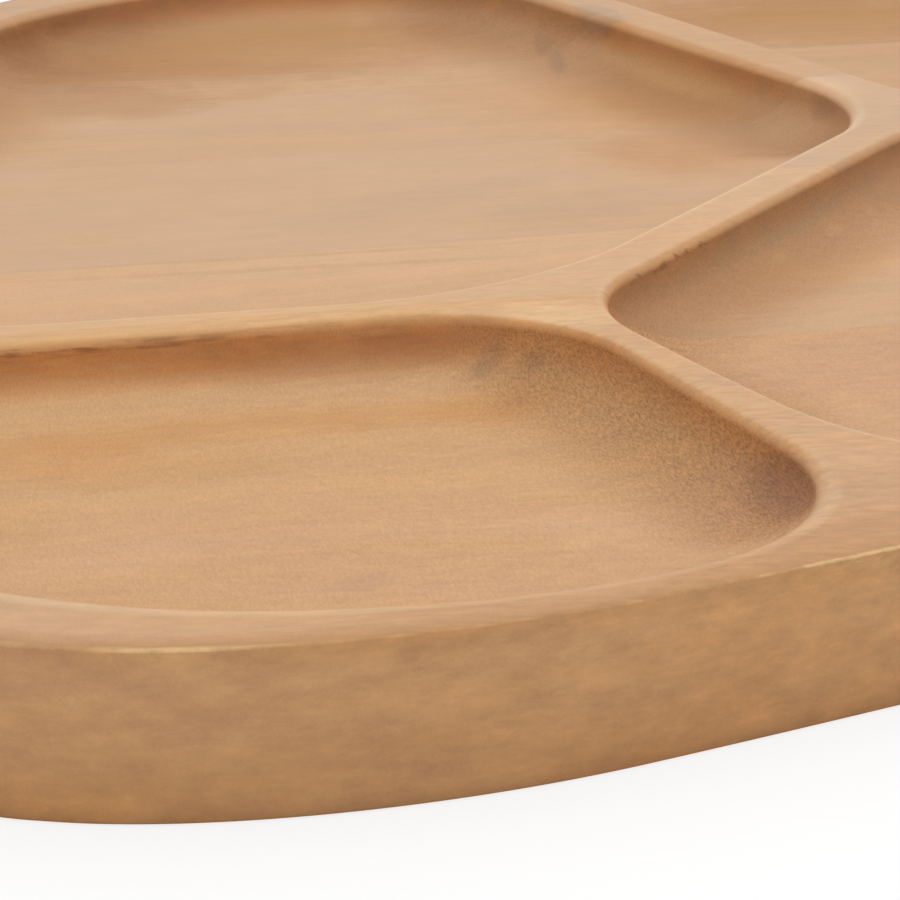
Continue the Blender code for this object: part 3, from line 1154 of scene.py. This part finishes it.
def lightness(
    look, glue, x, y, up, carved, steep, cut, foot, rings, streaks, hatch, grit, mottle, **others
):
    """One factor for the colour: (1 + grain + mottle + fine) x glue lines x foot.

    Grain = rings, streaks and hatching with their weights, half as strong where the face is
    upright. Hatching is weaker on carved wood and at the far left. Fine is the grit, which shows
    most in open end grain. A glue line is dark within a tenth of a millimetre.
    """
    at_left = x.rise(*HATCH_LEFT) * (1 - HATCH_LEAST) + HATCH_LEAST
    hatching = look["fine"] * (HATCH_LIGHT - carved * HATCH_CARVED) * at_left
    grain = rings * RING_LIGHT + streaks * (STREAK_LIGHT + steep * STREAK_STEEP) + hatch * hatching
    fine = grit * look["fine"] * (GRIT_LIGHT + carved * GRIT_CARVED + cut * GRIT_CUT)
    light = 1 + grain * (up * (1 - GRAIN_LEAST) + GRAIN_LEAST)
    light = light + mottle * (MOTTLE_LIGHT - up * MOTTLE_UP) + fine
    near_glue = abs(y - glue[0]).least(abs(y - glue[1])).rise(*GLUE_WIDTH)
    return light * (1 - near_glue * GLUE_DARK) * (1 - foot * FOOT_DARK)


print("A glue line is", 2 * GLUE_WIDTH[0], "mm wide")

# %% [markdown]
# Oil leaves a soft shine. Open end grain drinks it and stays duller, and a hand has polished
# the rolled edges. The bump is only a tenth of a millimetre: streaks, mottle and, where the
# fine lines show, hatching and grit.

# %% Shine and relief
ROUGH = 0.50
ROUGH_GRIT, ROUGH_CUT, ROUGH_CARVED, ROUGH_ROLLED = 0.1, 0.12, 0.05, -0.12
RELIEF_STREAKS, RELIEF_MOTTLE, RELIEF_HATCH, RELIEF_GRIT, RELIEF_CUT = 0.3, 0.8, 0.5, 0.3, 2.0
BUMP = {"Strength": 0.4, "Distance": 0.0001}


def shine(grit, cut, carved, roll_highlight, **others):
    """Roughness: a plain value and the weights of grit, open grain, carving and the roll."""
    plain = ROUGH + grit * ROUGH_GRIT + cut * ROUGH_CUT
    return plain + carved * ROUGH_CARVED + roll_highlight * ROUGH_ROLLED


def relief(look, streaks, mottle, hatch, grit, cut, **others):
    """A bumped normal over the height streaks + mottle + fine (hatch + grit)."""
    fine = hatch * RELIEF_HATCH + grit * (RELIEF_GRIT + cut * RELIEF_CUT)
    height = streaks * RELIEF_STREAKS + mottle * RELIEF_MOTTLE + fine * look["fine"]
    return height.node("ShaderNodeBump", {}, {**BUMP, "Height": height})


print("The bump is", BUMP["Distance"] * MM, "mm high")

# %% [markdown]
# ## One stave's wood
#
# Now the wood is put together: the tones, each tint in turn, the worn edge, which shows the
# pale wood under the finish together with a painted highlight, and the light. The first and the
# last stave have a glue line on one side only, so their outer one is put far outside the tray.
# Each stave gets its own material, because one wood for all would have no break at the glue lines.

# %% Give each stave its wood
# The pale worn edge, with a painted highlight on it.
PALE_EDGE_AND_HIGHLIGHT = (0.760, 0.480, 0.215)
WORN_LIT_SHARE, WORN_LIT_STREAKS, WORN_LIT_MOTTLE = 0.9, 2.0, 1.5
WORN_LIT_RISE = (0.1, 0.7)
FAR = 1000.0


def wood(name, look, placed, glue):
    """Oiled wood for one stave, with its glue lines at the two given places across the tray."""
    material = bpy.data.materials.new(name)
    material.use_nodes = True
    shader = material.node_tree.nodes["Principled BSDF"]
    at = read_point(material.node_tree)
    at.update(figure(look, **at))
    colour = toned(look, **at)
    for tint, share in shape_changes(look, **at) + placed_changes(placed, **at):
        colour = share.between(colour, (*tint, 1), "MULTIPLY")
    # Wear and a painted highlight along the upper outer edge.
    patchy = WORN_LIT_SHARE + at["streaks"] * WORN_LIT_STREAKS + at["mottle"] * WORN_LIT_MOTTLE
    worn_and_lit = (at["worn_edge_and_highlight"] * patchy).rise(*WORN_LIT_RISE)
    colour = worn_and_lit.between(colour, (*PALE_EDGE_AND_HIGHLIGHT, 1))
    colour.scaled(lightness(look, glue, **at)).into(shader, "Base Color")
    shine(**at).into(shader, "Roughness")
    relief(look, **at).into(shader, "Normal")
    return material


lines = [-FAR, *(float(y) * MM for y in GLUE_LINES), FAR]
for row, name in enumerate(STAVES):
    material = wood(name + "_wood", LOOKS[name], PLACED[name], lines[row : row + 2])
    staves[name].data.materials.append(material)
    print(name, "has", len(material.node_tree.nodes), "nodes in its wood")

# %% [markdown]
# ## The studio
#
# The tray lies on a white table. A stronger lamp would make the table white, but the wood too
# pale. So the table glows with a light that only the camera sees, and is otherwise lit as usual
# and keeps the tray's shadow. It lies a hair below the tray, because two surfaces in one place
# would show in streaks.

# %% The floor
FLOOR_HALF = 4.0
FLOOR_LEVEL = -0.0001
FLOOR_WHITE = 0.82
FLOOR_GLOW = 1.07
GLOW_SHARE = 0.75

ring = [(-1, -1), (1, -1), (1, 1), (-1, 1)]
floor_mesh = bpy.data.meshes.new("floor")
floor_corners = [(x * FLOOR_HALF, y * FLOOR_HALF, FLOOR_LEVEL) for x, y in ring]
floor_mesh.from_pydata(floor_corners, [], [(0, 1, 2, 3)])
floor = bpy.data.objects.new("floor", floor_mesh)
bpy.context.scene.collection.objects.link(floor)
white = bpy.data.materials.new("white_table")
white.use_nodes = True
white.node_tree.nodes.remove(white.node_tree.nodes["Principled BSDF"])
ray = Wire(white.node_tree).node("ShaderNodeLightPath", {}, {}, "Is Camera Ray")
matt = ray.node("ShaderNodeBsdfDiffuse", {}, {"Color": (FLOOR_WHITE, FLOOR_WHITE, FLOOR_WHITE, 1)})
glow = ray.node("ShaderNodeEmission", {}, {"Strength": FLOOR_GLOW})
shown = ray.node("ShaderNodeMixShader", {}, {0: ray * GLOW_SHARE, 1: matt, 2: glow})
shown.into(white.node_tree.nodes["Material Output"], "Surface")
floor_mesh.materials.append(white)
print("Floor of", 2 * FLOOR_HALF, "m")

# %% [markdown]
# The sky is white all around, a little dimmer for the wood than for the camera. One wide lamp
# above the back gives the walls their soft shade; small ones would give hard shadows. It is
# turned by its own axes, as the camera is.

# %% The sky and the lamp
SKY = 0.80
LAMP_POWER = 3.3
LAMP_SIZE = 1.0
LAMP_PLACE = np.array([0.15, 0.25, 0.9])

scene = bpy.context.scene
world = bpy.data.worlds.new("white_studio")
scene.world = world
world.use_nodes = True
background = world.node_tree.nodes["Background"]
camera_ray = Wire(world.node_tree).node("ShaderNodeLightPath", {}, {}, "Is Camera Ray")
seen = camera_ray + camera_ray.other("Is Glossy Ray") + camera_ray.other("Is Transmission Ray")
(seen.least(1.0) * (1 - SKY) + SKY).into(background, "Strength")
background.inputs["Color"].default_value = (1, 1, 1, 1)

lamp = bpy.data.objects.new("lamp", bpy.data.lights.new("lamp", "AREA"))
lamp.data.shape = "RECTANGLE"
lamp.data.size = LAMP_SIZE
lamp.data.size_y = LAMP_SIZE
lamp.data.energy = LAMP_POWER
aim = unit(LAMP_PLACE)
side = unit(np.cross((0, 1, 0), aim))
lamp_axes = np.column_stack([side, np.cross(aim, side), aim, LAMP_PLACE])
lamp.matrix_world = Matrix([*lamp_axes.tolist(), [0, 0, 0, 1]])
scene.collection.objects.link(lamp)
scene.view_settings.view_transform = "Standard"
print("Lamp at", LAMP_PLACE, "m")
